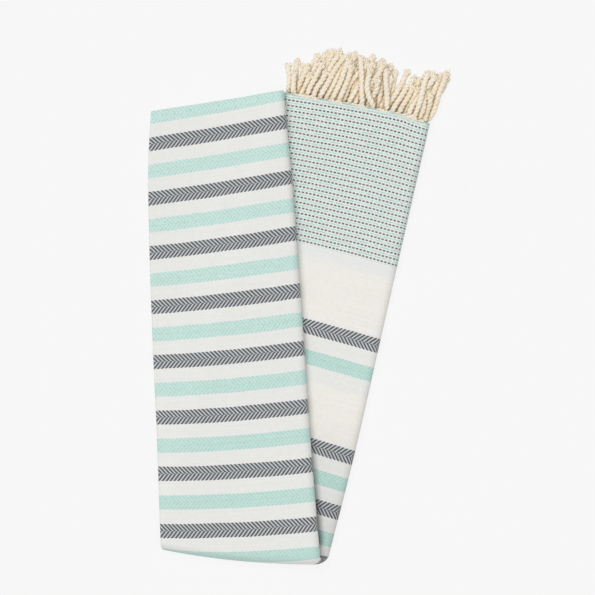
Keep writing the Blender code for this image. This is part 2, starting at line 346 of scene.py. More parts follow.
# ---- camera, light and floor
def add_object(name, data):
    thing = bpy.data.objects.new(name, data)
    bpy.context.scene.collection.objects.link(thing)
    return thing


def place_camera():
    """Straight above, with the photograph's frame at the height of the towel's middle."""
    data = bpy.data.cameras.new("camera")
    data.sensor_width = SENSOR
    data.lens = SENSOR * CAMERA_HEIGHT / (PHOTO_PIXELS * METRES_PER_PIXEL)
    camera = add_object("camera", data)
    camera.location = (*PHOTO_CENTRE, CAMERA_HEIGHT + STRIP_HEIGHT)
    bpy.context.scene.camera = camera


# ---- the folds, as in the part
def curve_through(table, share):
    """The table's columns at a share of its length, on a smooth curve through its even rows."""
    rows = np.array(table)
    slopes = np.gradient(rows, axis=0)
    place = np.asarray(share, float) * (len(rows) - 1)
    row = np.clip(np.floor(place).astype(int), 0, len(rows) - 2)
    t = (place - row)[..., None]
    return (
        (2 * t**3 - 3 * t**2 + 1) * rows[row]
        + (t**3 - 2 * t**2 + t) * slopes[row]
        + (3 * t**2 - 2 * t**3) * rows[row + 1]
        + (t**3 - t**2) * slopes[row + 1]
    )


def unit(vector):
    return vector / np.linalg.norm(vector)


def row_middle(row):
    return (row[:2] + row[2:]) / 2


def leg_length(table):
    return np.linalg.norm(row_middle(table[-1]) - row_middle(table[0]))


def hem_lift(across, along):
    """How far a row near the hem is pushed out beyond the part's own."""
    place, near, far = np.array(HEM_LIFT).T
    inward = np.maximum(along, 0) * leg_length(BACK_LEG)
    far = np.interp(across, place, far)
    near = (np.interp(across, place, near) - far) * np.exp(-inward / HEM_LIFT_RUN)
    return near + far * np.clip(1 - inward / HEM_LIFT_END, 0, 1)


def leg_plan(table, across, along, bow):
    """Plan points of one leg: shares across and along it, with its rows bowed along it."""
    edges = curve_through(table, along)
    across = across[..., None]
    straight = edges[..., :2] * (1 - across) + edges[..., 2:] * across
    axis = unit(row_middle(table[-1]) - row_middle(table[0]))
    return straight + axis * bow[..., None] * 4 * across * (1 - across)


def fold_crosswise(face, curl):
    """Step 1: the sheet's height and overhang where its second half is turned over the first."""
    radius = CLOTH_THICKNESS + LAYER_GAP / 2 - face
    height = CLOTH_THICKNESS + LAYER_GAP / 2 - radius * np.cos(curl)
    return EDGE_SQUASH * radius * np.sin(curl), height


def fold_in_thirds(third, x, turn, z):
    """Step 2: the pair of layers laid back and forth, turning first at the left."""
    turned = third % 2 == 1
    radius = np.where(turned, z, PAIR_HEIGHT - z) + LAYER_GAP / 2
    centre = third * (PAIR_HEIGHT + LAYER_GAP) + PAIR_HEIGHT + LAYER_GAP / 2
    side = np.where(turned, 1, -1)
    return x + side * EDGE_SQUASH * radius * np.sin(turn), centre - radius * np.cos(turn)


def fold_in_half(x, z):
    """Step 3: what lies beyond the spine goes up and over it."""
    angle = np.clip((x - FLAT_WIDTH) / SPINE_ARC * math.pi, 0, math.pi)
    beyond = np.maximum(x - FLAT_WIDTH - SPINE_ARC, 0)
    radius = STACK_HEIGHT + LAYER_GAP / 2 - z
    folded_x = np.minimum(x, FLAT_WIDTH) - beyond + SPINE_SQUASH * radius * np.sin(angle)
    return folded_x, STACK_HEIGHT + LAYER_GAP / 2 - radius * np.cos(angle)


def share_across(x):
    return (x + LEFT_BULGE) / STRIP_WIDTH


def bend_strip(x, z, back, bend, front):
    """Step 4: the strip laid out as two legs, and the front one let down beside the back one."""
    across = share_across(x)
    radius = STRIP_HEIGHT + LEG_GAP / 2 - z
    turned = (1 - np.cos(bend)) / 2
    lower = leg_plan(BACK_LEG, across, back, BEND_BOW * back - HEM_BOW * (1 - back))
    outward = unit(row_middle(BACK_LEG[0]) - row_middle(BACK_LEG[-1]))
    lower += outward * hem_lift(across, back)[..., None]
    corner = np.maximum(back, 0) * leg_length(BACK_LEG) / HEM_FLARE_RUN
    lower[..., 0] -= HEM_FLARE * np.exp(-(corner**2)) * (1 - across) ** 3
    upper = leg_plan(FRONT_LEG, across, front, -BEND_BOW * (1 - front))
    upper[..., 0] -= SWELL * np.exp(-(((front - SWELL_PLACE) / SWELL_RUN) ** 2)) * (1 - across) ** 2
    fold = FRONT_LEG[0, 2:] - FRONT_LEG[0, :2]
    outward = unit(np.array((fold[1], -fold[0])))
    bulge = (BEND_SQUASH * radius * np.sin(bend))[..., None] * outward
    plan = lower * (1 - turned[..., None]) + upper * turned[..., None] + bulge
    edge_top, edge_bottom = BACK_LEG[0, :2], BACK_LEG[-1, :2]
    edge = unit(edge_top - edge_bottom)
    beside = (plan - edge_bottom) @ np.array((-edge[1], edge[0]))
    share = np.clip((beside - DROP_START) / DROP_WIDTH, 0, 1)
    drop = (STRIP_HEIGHT + LEG_GAP) * share**2 * (3 - 2 * share) * turned
    height = STRIP_HEIGHT + LEG_GAP / 2 - radius * np.cos(bend) - drop
    return np.concatenate((plan, height[..., None]), axis=-1)


def soften(points):
    """Low ripples and troughs. They scale the height, so layers stay apart and the base flat."""
    x, y = points[..., 0], points[..., 1]
    scale = np.ones_like(x)
    for per_x, per_y, phase in RIPPLE_WAVES:
        wave = np.sin(2 * math.pi * (per_x * x + per_y * y) + phase)
        scale += RIPPLE / len(RIPPLE_WAVES) * wave
    for start_x, start_y, end_x, end_y, width, depth in TROUGHS:
        start, run = np.array((start_x, start_y)), np.array((end_x - start_x, end_y - start_y))
        offset = points[..., :2] - start
        along = np.clip(offset @ run / (run @ run), 0, 1)
        apart = np.linalg.norm(offset - along[..., None] * run, axis=-1)
        fade = np.sin(math.pi * np.clip(along, TROUGH_END, 1 - TROUGH_END))
        scale -= depth * fade * np.exp(-((apart / width) ** 2))
    points[..., 2] *= scale
    return points


def strip_section(third, x, turn, face, curl):
    """Steps 1 to 3: a place across the strip, its height and its overhang at the crosswise fold."""
    overhang, z = fold_crosswise(face, curl)
    x, z = fold_in_thirds(third, x, turn, z)
    x, z = fold_in_half(x, z)
    return x, z, overhang


def folded(third, x, turn, face, back, bend, front, curl):
    """Points of the folded sheet."""
    x, z, overhang = strip_section(third, x, turn, face, curl)
    front = front + overhang / leg_length(FRONT_LEG)
    return soften(bend_strip(*np.broadcast_arrays(x, z, back, bend, front)))


def strip_width(back, bend, front):
    """How wide the strip lies at a place along it."""
    widths = []
    for table, along in ((BACK_LEG, back), (FRONT_LEG, front)):
        edges = curve_through(table, along)
        widths.append(np.linalg.norm(edges[..., 2:] - edges[..., :2], axis=-1))
    return widths[0] + (widths[1] - widths[0]) * bend / math.pi


def fabric_across(third, x, turn, back, bend, front):
    """The place across the fabric, in metres from the first selvedge. It spreads with the strip."""
    angle = math.pi * np.clip((x - FLAT_WIDTH) / SPINE_ARC, 0, 1)
    radius = STACK_HEIGHT * (1 - third / THIRDS)
    further = angle * (radius * (1 + SPINE_SQUASH) / 2 - SPINE_ARC / math.pi)
    run = np.where(third % 2 == 1, x + further, THIRD_WIDTH - x - further)
    place = third * (THIRD_WIDTH + TURN_RUN) + run + TURN_RUN * turn / math.pi
    spread = strip_width(back, bend, front) / STRIP_WIDTH
    return SPINE_FABRIC + (place - SPINE_FABRIC) * spread


def fabric_along(x, back, bend, front, curl):
    """The place along the fabric, in metres from the first hem, where x is across the strip."""
    across = share_across(x)
    places = []
    for table, along in ((BACK_FABRIC, back), (FRONT_FABRIC, front)):
        left, right, middle = np.moveaxis(curve_through(table, along), -1, 0)
        places.append(left + (right - left) * across + middle * 4 * across * (1 - across))
    place = places[0] + (places[1] - places[0]) * bend / math.pi
    lag = BEND_LAG * np.sin(math.pi * (bend / math.pi) ** BEND_LAG_LATE) ** 2
    place = place - lag * np.clip(across, 0, 1) ** BEND_LAG_FADE
    fold = place + CURL_RUN * np.minimum(curl, math.pi / 2) / (math.pi / 2)
    end = curve_through(FRONT_FABRIC, 1.0)[:2].mean() + CURL_RUN
    beyond = place / (end - CURL_RUN)
    second = 2 * end - place - (2 * end - TOWEL_LENGTH) * (1 - beyond)
    over = np.clip(2 * curl / math.pi - 1, 0, 1)
    return fold * (1 - over) + second * over


# ---- the cloth's mesh
def even_steps(start, end, steps):
    """Values after start, up to and with end."""
    return [start + (end - start) * k / steps for k in range(1, steps + 1)]


def cloth_run(third):
    """Stations along one third of the cloth, from left to right."""
    flat = [0.0, FREE_EDGE_RECESS, *even_steps(FREE_EDGE_RECESS, FLAT_WIDTH, FLAT_STEPS)[:-1]]
    spine = [FLAT_WIDTH, *even_steps(FLAT_WIDTH, FLAT_WIDTH + SPINE_ARC, SPINE_STEPS)]
    run = flat + spine + [THIRD_WIDTH - x for x in reversed(flat)]
    left = FREE_EDGE_RECESS if third == THIRDS - 1 else 0.0
    right = THIRD_WIDTH - FREE_EDGE_RECESS if third == 0 else THIRD_WIDTH
    return [x for x in run if left <= x <= right]


def cloth_width_stations():
    """Columns: third, x along it, turn."""
    stations = []
    for third in range(THIRDS):
        run = cloth_run(third) if third % 2 else cloth_run(third)[::-1]
        stations += [(third, x, 0.0) for x in run]
        if third < THIRDS - 1:
            end = THIRD_WIDTH if third % 2 else 0.0
            stations += [(third, end, a) for a in even_steps(0, math.pi, EDGE_STEPS)[:-1]]
    return np.array(stations)


def cloth_length_stations():
    """Columns: share of the back leg, bend, share of the front leg, crosswise curl."""
    shares = (0.0, *even_steps(0, HEM_SHARE, HEM_STEPS), *even_steps(HEM_SHARE, 1, BACK_STEPS))
    half = [(share, 0.0, 0.0) for share in shares]
    half += [(1.0, angle, 0.0) for angle in even_steps(0, math.pi, BEND_STEPS)]
    half += [(1.0, math.pi, share) for share in even_steps(0, 1, FRONT_STEPS)]
    first = [(*row, 0.0) for row in half]
    curl = [(*half[-1], angle) for angle in even_steps(0, math.pi, EDGE_STEPS)[:-1]]
    return np.array(first + curl + [(*row, math.pi) for row in reversed(half)])


def cells(grid):
    """The four corners of every cell of one or more grids, given as grid, row and side."""
    corners = (grid[:, :-1, :-1], grid[:, 1:, :-1], grid[:, 1:, 1:], grid[:, :-1, 1:])
    return np.stack(corners, axis=3)


def sheet_faces(columns, rows):
    """Quads of both faces of a sheet and its rim, for points in column, row, face order."""
    index = np.arange(columns * rows * 2).reshape(columns, rows, 2)
    under, over = (cells(index[None, ..., face]).reshape(-1, 4) for face in (0, 1))
    ring = np.concatenate((index[0, :-1], index[:-1, -1], index[-1, :0:-1], index[:0:-1, 0]))
    ahead = np.roll(ring, -1, axis=0)
    rim = np.stack((ahead[:, 0], ring[:, 0], ring[:, 1], ahead[:, 1]), axis=1)
    return np.concatenate((np.roll(under[:, ::-1], 1, axis=1), over, rim))


def new_piece(name, points, faces, layers, material):
    """A smooth mesh piece. Each layer is a UV map's name and a pair of values for every corner."""
    mesh = bpy.data.meshes.new(name)
    mesh.from_pydata(points.tolist(), [], faces)
    for layer, values in layers.items():
        mesh.uv_layers.new(name=layer).data.foreach_set("uv", values.ravel())
    mesh.shade_smooth()
    mesh.materials.append(material)
    return add_object(name, mesh)


def hem_scallop(third, x, curl):
    """How far one place of a hem stands out beyond the part's hem, between and at its gathers."""
    over_spine = x > FLAT_WIDTH + SPINE_ARC / 2
    places, bounds, _ = hem_strands(int(third), over_spine, curl)
    shift = layer_of(int(third), over_spine, curl) % TIER_LAYERS
    shares = np.roll(TONGUE_SHARES, shift)[:len(bounds)]
    shares[-1] = 1.0
    knots, reach = [bounds[0]], [shares[0] * TONGUE_REACH]
    for place, low, high, share in zip(places, bounds[:-1], bounds[1:], shares[1:]):
        knots += [(place + low) / 2, (place + high) / 2, high]
        reach += [-HEM_DIP, -HEM_DIP, share * TONGUE_REACH]
    if over_spine:
        knots, reach = knots[::-1], reach[::-1]
    return np.interp(x, knots, reach)


def scalloped(widths, lengths):
    """The share of the back leg at every column and row, with both hems scalloped."""
    back, curl = lengths[:, 0], lengths[:, 3]
    fade = np.clip(1 - back / HEM_SHARE, 0, 1) ** 2
    stand = [[hem_scallop(third, x, c) for c in (0.0, math.pi)] for third, x, _ in widths]
    stand = np.array(stand)[:, np.where(curl > math.pi / 2, 1, 0)]
    return back - stand * fade / leg_length(BACK_LEG)


def make_cloth():
    """The folded sheet, both faces, with its places in the fabric."""
    widths, lengths = cloth_width_stations(), cloth_length_stations()
    third, x, turn = (c[:, None, None] for c in widths.T)
    _, bend, front, curl = (c[None, :, None] for c in lengths.T)
    back = scalloped(widths, lengths)[:, :, None]
    face = np.array((0.0, CLOTH_THICKNESS))[None, None, :]
    points = folded(third, x, turn, face, back, bend, front, curl)
    strip_x = strip_section(third, x, turn, face, curl)[0]
    across = fabric_across(third, x, turn, back, bend, front)
    along = fabric_along(strip_x, back, bend, front, curl)
    fabric = np.stack(np.broadcast_arrays(across, along), axis=-1)
    shape = points.shape[:3]
    fabric = np.broadcast_to(fabric, (*shape, 2)).reshape(-1, 2)
    faces = sheet_faces(*shape[:2])
    layers = {"fabric": fabric[faces.ravel()]}
    return new_piece("cloth", points.reshape(-1, 3), faces.tolist(), layers, cloth_material())


# ---- the fringe's mesh
def units(vectors):
    return vectors / np.linalg.norm(vectors, axis=-1, keepdims=True)


def cross_frame(path, up):
    """Two directions square to a path at each of its points. The first is square to up as well."""
    ahead = units(np.gradient(path, axis=-2))
    beside = units(np.cross(ahead, up))
    return beside, np.cross(beside, ahead)


class Skein:
    """Tubes joined into one mesh. Its UV maps give the place along and round each thread, its
    tint and how deep it lies in its cord, and how other cords crowd it and how loose it is."""

    def __init__(self):
        self.points, self.faces, self.threads, self.values = [], [], [], []
        self.count = 0

    def add(self, paths, radii, sides, tints, core=None, reach=None, others=None, loose=0.0):
        """paths by tube, ring and axis, radii by tube and ring, and a tint for each tube.
        core is what the tubes are wound round, and reach how far they stand out from it.
        others are points on other cords, and loose is 1 for loose ends."""
        tubes, rings = paths.shape[:2]
        beside, above = cross_frame(paths, NEARLY_UP)
        angle = np.arange(sides)[:, None] * 2 * math.pi / sides
        circle = np.cos(angle) * beside[:, :, None] + np.sin(angle) * above[:, :, None]
        radii = np.broadcast_to(radii, (tubes, rings))[..., None, None]
        points = paths[:, :, None] + circle * radii
        self.points.append(points.reshape(-1, 3))

        index = np.arange(tubes * rings * sides).reshape(tubes, rings, sides)
        quads = cells(np.concatenate((index, index[..., :1]), axis=2))
        caps = (index[:, 0], index[:, -1, ::-1])
        for corners in (quads.reshape(-1, 4), *caps):
            self.faces += (corners + self.count).tolist()
        self.count += index.size

        steps = np.linalg.norm(np.diff(paths, axis=1), axis=-1)
        run = np.concatenate((np.zeros((tubes, 1)), np.cumsum(steps, axis=1)), axis=1)
        place = np.stack(np.broadcast_arrays(run[..., None], np.arange(sides + 1) / sides), axis=-1)
        for corners in (cells(place), place[:, 0, :-1], place[:, -1, :-1]):
            self.threads.append(corners.reshape(-1, 2))

        tint = np.repeat(np.asarray(tints, float), rings * sides)
        depth = crowd = np.zeros(index.size)
        if core is not None:
            depth = 1 - np.linalg.norm(points - core, axis=-1).ravel() / reach
        if others is not None:
            crowd = crowding(points.reshape(-1, 3), others)
        values = np.stack((tint, depth, crowd, np.full(index.size, loose)), axis=-1)
        self.values += [values[corners.ravel()] for corners in (quads, *caps)]

    def piece(self, name, material):
        values = np.concatenate(self.values)
        layers = {"thread": np.concatenate(self.threads), "tint": values[:, :2], "crowd": values[:, 2:]}
        return new_piece(name, np.concatenate(self.points), self.faces, layers, material)


def crowding(points, others):
    """1 where a point touches another cord or lies deep under it, and 0 in the open."""
    flat, flat_others = points[:, :2], others[:, :2]
    aside = (flat**2).sum(axis=1)[:, None] + (flat_others**2).sum(axis=1) - 2 * flat @ flat_others.T
    above = others[:, 2] - points[:, 2:]
    touch = 2 - np.sqrt(np.maximum(aside + above**2, 0).min(axis=1)) / (CORD_WIDTH / 2)
    near = np.maximum(1 - np.sqrt(np.maximum(aside, 0)) / COVER_REACH, 0)
    under = (near * np.clip(above / CORD_WIDTH, 0, 1)).max(axis=1)
    return np.clip(np.maximum(touch, under), 0, 1)


def layer_of(third, over_spine, curl):
    """The layer's number in the strip, counted up from the surface."""
    x = THIRD_WIDTH if over_spine else 0.0
    x, z, _ = strip_section(third, x, 0.0, CLOTH_THICKNESS / 2, curl)
    return int(z / LAYER_PITCH)


def hem_strands(third, over_spine, curl):
    """Where strands leave one layer of a hem: x along the third, the bounds of their threads, tier."""
    room = FLAT_WIDTH - 2 * LANE_MARGIN - (len(TIER_CENTRES) - 1) * TIER_SHIFT
    tier, first_lane = divmod(layer_of(third, over_spine, curl), TIER_LAYERS)
    lanes = np.arange(first_lane, LANES, TIER_LAYERS)
    x = LANE_MARGIN + tier * TIER_SHIFT + room * lanes / (LANES - 1)
    middles = (x[1:] + x[:-1]) / 2
    bounds = np.concatenate(([FREE_EDGE_RECESS], middles, [FLAT_WIDTH + SPINE_ARC / 2]))
    if over_spine:
        x, bounds = THIRD_WIDTH - x, THIRD_WIDTH - bounds
    return x, bounds, tier


def beyond_hem(third, x, distance, curl):
    """A point in the middle of the sheet's thickness, a distance beyond its hem."""
    back = np.asarray(-distance / leg_length(BACK_LEG), float)
    return folded(np.array(third), np.asarray(x, float), 0.0, CLOTH_THICKNESS / 2,
                  back, 0.0, 0.0, curl)


def lay_cord(rng, start, tier):
    """One cord before it settles, from where its yarns are gathered to its knot."""
    hem_left, hem_right = BACK_LEG[0, :2], BACK_LEG[0, 2:]
    hem = hem_right - hem_left
    share = float(np.clip((start[:2] - hem_left) @ hem / (hem @ hem), 0, 1))
    shares, *further = np.array(CORD_LAY).T
    further_lean, further_reach, aside = (np.interp(share, shares, column) for column in further)
    aside += ROOT_SPREAD * rng.uniform(-1, 1)
    lean, length = curve_through(STRAND_LAY, share)
    length += STRAND_START - GATHER_LENGTH - TUFT_LENGTH
    length += further_reach
    length += LENGTH_SPREAD * rng.uniform(-1, 1)
    length -= SHORT_REACH * rng.uniform() ** SHORT_POWERS[tier]
    freedom = 1 - END_HOLD * (2 * share - 1) ** 2
    lean += further_lean
    lean += LEAN_SPREAD * freedom * rng.uniform(-1, 1)
    curve = CURVE_SPREAD * freedom * rng.uniform(-1, 1)
    wave = WAVE_SPREAD * rng.uniform(-1, 1)
    phase = rng.uniform(0, 2 * math.pi)
    along = np.linspace(0, 1, CORD_POINTS)
    swing = curve * (along - CURVE_PIVOT) + wave * np.sin(2 * math.pi * along + phase)
    angle = np.radians(lean + swing)
    heading = np.stack((np.sin(angle), np.cos(angle)), axis=-1)
    path = np.zeros((CORD_POINTS, 3))
    path[1:, :2] = np.cumsum(heading[1:], axis=0) * length / (CORD_POINTS - 1)
    path[:, :2] += start[:2] + unit(hem) * aside + heading[0] * GATHER_LENGTH
    path[:, 2] = max((start[2] + TIER_CENTRES[tier]) / 2, CORD_WIDTH / 2)
    return path


def lay_cords(rng):
    """The cords before they settle: their hem threads, their paths and the ends they belong to."""
    threads, paths, ends = [], [], []
    for end, curl in enumerate((0.0, math.pi)):
        for third, over_spine in ((t, o) for t in range(THIRDS) for o in (False, True)):
            places, bounds, tier = hem_strands(third, over_spine, curl)
            for place, low, high in zip(places, bounds[:-1], bounds[1:]):
                side = np.linspace(-GATHER_SPREAD, GATHER_SPREAD, GATHER_YARNS)
                yarn_x = place + np.where(side < 0, -side * (low - place), side * (high - place))
                threads.append(beyond_hem(third, yarn_x, -YARN_ROOT, curl))
                paths.append(lay_cord(rng, beyond_hem(third, place, 0.0, curl), tier))
                ends.append(end)
    return np.array(threads), np.array(paths), ends


def settle(paths):
    """Lets the cords down on the floor and on each other, with their starts held."""
    plan = paths[..., :2].copy()
    held = paths[:, 0].copy()
    reach = np.linalg.norm(paths[:, 1] - paths[:, 0], axis=-1)
    owner = np.repeat(np.arange(len(paths)), CORD_POINTS)
    strangers = owner[:, None] != owner
    for _ in range(SETTLE_STEPS):
        paths[:, 1:, 2] -= SETTLE_FALL
        points = paths.reshape(-1, 3)
        apart = points[:, None] - points
        distance = np.sqrt((apart**2).sum(axis=-1)) + TINY
        overlap = np.where(strangers, np.maximum(CORD_WIDTH - distance, 0), 0)
        push = (apart * (overlap / distance)[..., None]).sum(axis=1) * SETTLE_PUSH
        points += push * (SETTLE_ASIDE, SETTLE_ASIDE, 1.0)
        paths = points.reshape(paths.shape)
        middle = (paths[:, 2:] + paths[:, :-2]) / 2
        paths[:, 1:-1] += SETTLE_SMOOTH * (middle - paths[:, 1:-1])
        paths[..., :2] += SETTLE_KEEP * (plan - paths[..., :2])
        paths[:, 0] = held
        for k in range(1, CORD_POINTS):
            run = paths[:, k] - paths[:, k - 1]
            run *= (reach / np.linalg.norm(run, axis=-1))[:, None]
            paths[:, k] = paths[:, k - 1] + run
        paths[..., 2] = np.maximum(paths[..., 2], CORD_WIDTH / 2)
    return paths


def ply_paths(path, phase):
    """The two plies of a cord, wound round its path to the right."""
    length = np.linalg.norm(np.diff(path, axis=0), axis=-1).sum()
    rings = int(length / CORD_RING_STEP)
    centre = curve_through(path, np.linspace(0, 1, rings))
    beside, above = cross_frame(centre, (0.0, 0.0, 1.0))
    turn = phase + 2 * math.pi * np.linspace(0, length, rings) / CORD_TURN
    plies = []
    for start in (0.0, math.pi):
        angle = (turn + start)[:, None]
        offset = np.cos(angle) * above + np.sin(angle) * beside
        plies.append(centre + offset * (CORD_WIDTH / 2 - PLY_RADIUS))
    return np.array(plies)


def bezier(corners, steps):
    """Points on cubic curves, for corners as four arrays of points."""
    t = np.linspace(0, 1, steps)[None, :, None]
    a, b, c, d = (corner[:, None] for corner in corners)
    return a * (1 - t) ** 3 + b * 3 * t * (1 - t) ** 2 + c * 3 * t**2 * (1 - t) + d * t**3


def add_gather(skein, hem, plies, rng):
    """Hem yarns drawn together into a cord's two plies."""
    half = len(hem) // 2
    first, second = plies
    if (first[0] - second[0]) @ (hem[0] - hem[-1]) < 0:
        first, second = second, first
    joins = np.array([first] * half + [second] * (len(hem) - half))
    start, inside = joins[:, 0], joins[:, YARN_JOIN]
    out = unit(start.mean(axis=0) - hem.mean(axis=0))
    stray = rng.normal(size=(len(hem), 3)) * YARN_STRAY
    leaving, entering = YARN_PULLS
    corners = (hem, hem + out * (YARN_ROOT + leaving), start - out * entering + stray, inside + stray)
    growth = np.linspace(0, 1, YARN_RINGS)
    at_hem, in_cord = YARN_TAPER
    radii = YARN_RADIUS * (1 - at_hem * (1 - growth) ** 3 - in_cord * growth**2)
    radii = radii * rng.uniform(*YARN_RADII, (len(hem), 1))
    skein.add(bezier(corners, YARN_RINGS), radii, YARN_SIDES, rng.uniform(size=len(hem)))


def add_knot(skein, centre, ahead, rng):
    """A small overhand knot, wound as a trefoil."""
    t = np.linspace(0, 2 * math.pi, KNOT_RINGS)
    x = np.sin(t) + 2 * np.sin(2 * t)
    y = np.cos(t) - 2 * np.cos(2 * t)
    z = -KNOT_LIFT * np.sin(3 * t)
    turn = math.atan2(ahead[1], ahead[0]) + rng.uniform(-KNOT_TURN, KNOT_TURN)
    across = x * math.cos(turn) - y * math.sin(turn)
    along = x * math.sin(turn) + y * math.cos(turn)
    path = centre + np.stack((across, along, z), axis=-1) * KNOT_SCALE
    skein.add(path[None], KNOT_RADIUS, KNOT_SIDES, [rng.uniform()], centre, KNOT_REACH)


def add_tuft(skein, start, ahead, rng):
    """Loose ends that spread a little beyond the knot."""
    heading = units(ahead + rng.normal(size=(TUFT_FIBRES, 3)) * TUFT_SPREAD)
    bend = heading + rng.normal(size=(TUFT_FIBRES, 3)) * TUFT_BEND
    length = TUFT_LENGTH * rng.uniform(*TUFT_LENGTHS, (TUFT_FIBRES, 1))
    root = start + rng.normal(size=(TUFT_FIBRES, 3)) * TUFT_ROOT
    middle = root + heading * length * 0.5
    corners = (root, (root + middle) / 2, middle, middle + bend * length * 0.5)
    paths = bezier(corners, len(TUFT_TAPER))
    paths[..., 2] = np.maximum(paths[..., 2], TUFT_RADIUS)
    radii = np.array(TUFT_TAPER)[None] * TUFT_RADIUS
    skein.add(paths, radii, TUFT_SIDES, rng.uniform(size=TUFT_FIBRES), loose=1.0)


def make_fringe():
    """One piece for each end of the cloth."""
    rng = np.random.default_rng(SEED)
    hems, paths, ends = lay_cords(rng)
    paths = settle(paths)
    skeins = (Skein(), Skein())
    for k, (hem, path, end) in enumerate(zip(hems, paths, ends)):
        skein = skeins[end]
        others = np.delete(paths, k, axis=0).reshape(-1, 3)
        plies = ply_paths(path, rng.uniform(0, 2 * math.pi))
        growth = np.minimum(np.linspace(0, 1, plies.shape[1]) * PLY_ROOT_SHARE, 1)
        core = plies.mean(axis=0)[:, None]
        radii = PLY_RADIUS * (PLY_ROOT + (1 - PLY_ROOT) * growth)[None]
        skein.add(plies, radii, PLY_SIDES, rng.uniform(size=2), core, CORD_WIDTH / 2, others)
        add_gather(skein, hem, plies, rng)
        ahead = unit(path[-1] - path[-3])
        add_knot(skein, path[-1], ahead, rng)
        add_tuft(skein, path[-1] + ahead * TUFT_START, ahead, rng)
    material = fringe_material()
    names = ("fringe_first", "fringe_second")
    return [skein.piece(name, material) for skein, name in zip(skeins, names)]


# ---- materials
class Value:
    """A node's output, which is added, multiplied and so on as a number is."""

    def __init__(self, graph, socket):
        self.graph, self.socket = graph, socket

    def __add__(self, other):
        return self.graph.math("ADD", self, other)

    def __sub__(self, other):
        return self.graph.math("SUBTRACT", self, other)

    def __rsub__(self, other):
        return self.graph.math("SUBTRACT", other, self)

    def __mul__(self, other):
        return self.graph.math("MULTIPLY", self, other)

    def __truediv__(self, other):
        return self.graph.math("DIVIDE", self, other)

    def __abs__(self):
        return self.graph.math("ABSOLUTE", self)

    __radd__, __rmul__ = __add__, __mul__


def scaled(value, factor, offset):
    return value * factor + offset


def pick(share, below, above):
    """below where the share is 0 and above where it is 1."""
    return share * (above - below) + below


class Graph:
    """A material's nodes. Each call adds one and returns its output."""

    def __init__(self, name):
        self.material = bpy.data.materials.new(name)
        self.material.use_nodes = True
        self.tree = self.material.node_tree
        self.shader = self.tree.nodes["Principled BSDF"]

    def feed(self, node, inputs):
        """Links values to a node's inputs, or sets them to numbers and colours."""
        for socket, value in inputs.items():
            if isinstance(value, Value):
                self.tree.links.new(value.socket, node.inputs[socket])
            else:
                node.inputs[socket].default_value = value

    def add(self, kind, inputs, output=0, **settings):
        node = self.tree.nodes.new(kind)
        for name, value in settings.items():
            setattr(node, name, value)
        self.feed(node, inputs)
        return Value(self, node.outputs[output])

    def math(self, operation, *values):
        return self.add("ShaderNodeMath", dict(enumerate(values)), operation=operation)

    def rise(self, value, low, high):
        """0 up to low and 1 from high, with a smooth step between them."""
        inputs = {"Value": value, "From Min": low, "From Max": high}
        return self.add("ShaderNodeMapRange", inputs, interpolation_type="SMOOTHSTEP")

    def fall(self, value, low, high):
        return 1.0 - self.rise(value, low, high)

    def between(self, value, low, high, soft):
        """1 from low to high and 0 outside them."""
        return self.rise(value, low - soft, low + soft) * self.fall(value, high - soft, high + soft)

    def blend(self, share, below, above, **settings):
        """pick for colours. The Mix node has its colours at inputs 6 and 7 and output 2."""
        inputs = {0: share, 6: below, 7: above}
        return self.add("ShaderNodeMix", inputs, 2, data_type="RGBA", **settings)

    def wave(self, value, pitch, phase=0.0):
        """0 in the middle of each repeat and 1 at its ends."""
        return abs(self.math("FRACT", value / pitch + phase) - 0.5) * 2.0

    def vector(self, x, y, z=0.0):
        return self.add("ShaderNodeCombineXYZ", {0: x, 1: y, 2: z})

    def noise(self, vector, scale, detail=2.0):
        return self.add("ShaderNodeTexNoise", {"Vector": vector, "Scale": scale, "Detail": detail})

    def random(self, x, y):
        return self.add("ShaderNodeTexWhiteNoise", {"Vector": self.vector(x, y)})

    def split(self, vector):
        """A vector's first two values."""
        return tuple(self.add("ShaderNodeSeparateXYZ", {0: vector}, k) for k in (0, 1))

    def places(self, layer):
        return self.split(self.add("ShaderNodeUVMap", {}, uv_map=layer))

    def plan(self):
        return self.split(self.add("ShaderNodeNewGeometry", {}))

    def finish(self, colour, height, relief, roughness, sheen):
        """Joins colour and relief, in metres, to the shader."""
        self.feed(self.shader, {
            "Base Color": colour,
            "Normal": self.add("ShaderNodeBump", {"Height": height, "Distance": relief}),
            "Roughness": roughness,
            "Sheen Weight": sheen,
            "Sheen Roughness": SHEEN_ROUGHNESS,
            "Specular IOR Level": SPECULAR,
        })
        return self.material


WHITE = linear(227, 227, 224)
COOL_WHITE = linear(226, 227, 225)
CREAM = linear(233, 230, 224)
MINT_THREAD = linear(148, 194, 181)
MINT_PALE = linear(226, 234, 230)
DASH_GAP = linear(218, 215, 214)
TEAL = linear(199, 224, 218)
TEAL_LINE = linear(165, 204, 194)
TEAL_DEEP = linear(188, 217, 210)  # the teal stripes' ground nearer the hems
CHARCOAL = linear(86, 88, 91)
CHARCOAL_GAP = linear(194, 197, 199)
DASH = linear(86, 81, 85)
ECRU = linear(239, 230, 212)
ECRU_WARM = linear(236, 223, 199)
ECRU_PALE = linear(243, 235, 222)
ECRU_DEEP = linear(228, 210, 174)
# Painted shade in the fringe: golden in grooves, brown where cords touch or lie covered, browner near
# the hem
GOLDEN = linear(216, 194, 150)
BROWN = linear(206, 180, 134)
ROOT_BROWN = linear(176, 142, 88)
TIP = linear(244, 236, 220)
BLACK = (0.0, 0.0, 0.0, 1.0)
PURE_WHITE = (1.0, 1.0, 1.0, 1.0)
SHEEN_ROUGHNESS = 0.5
SPECULAR = 0.2
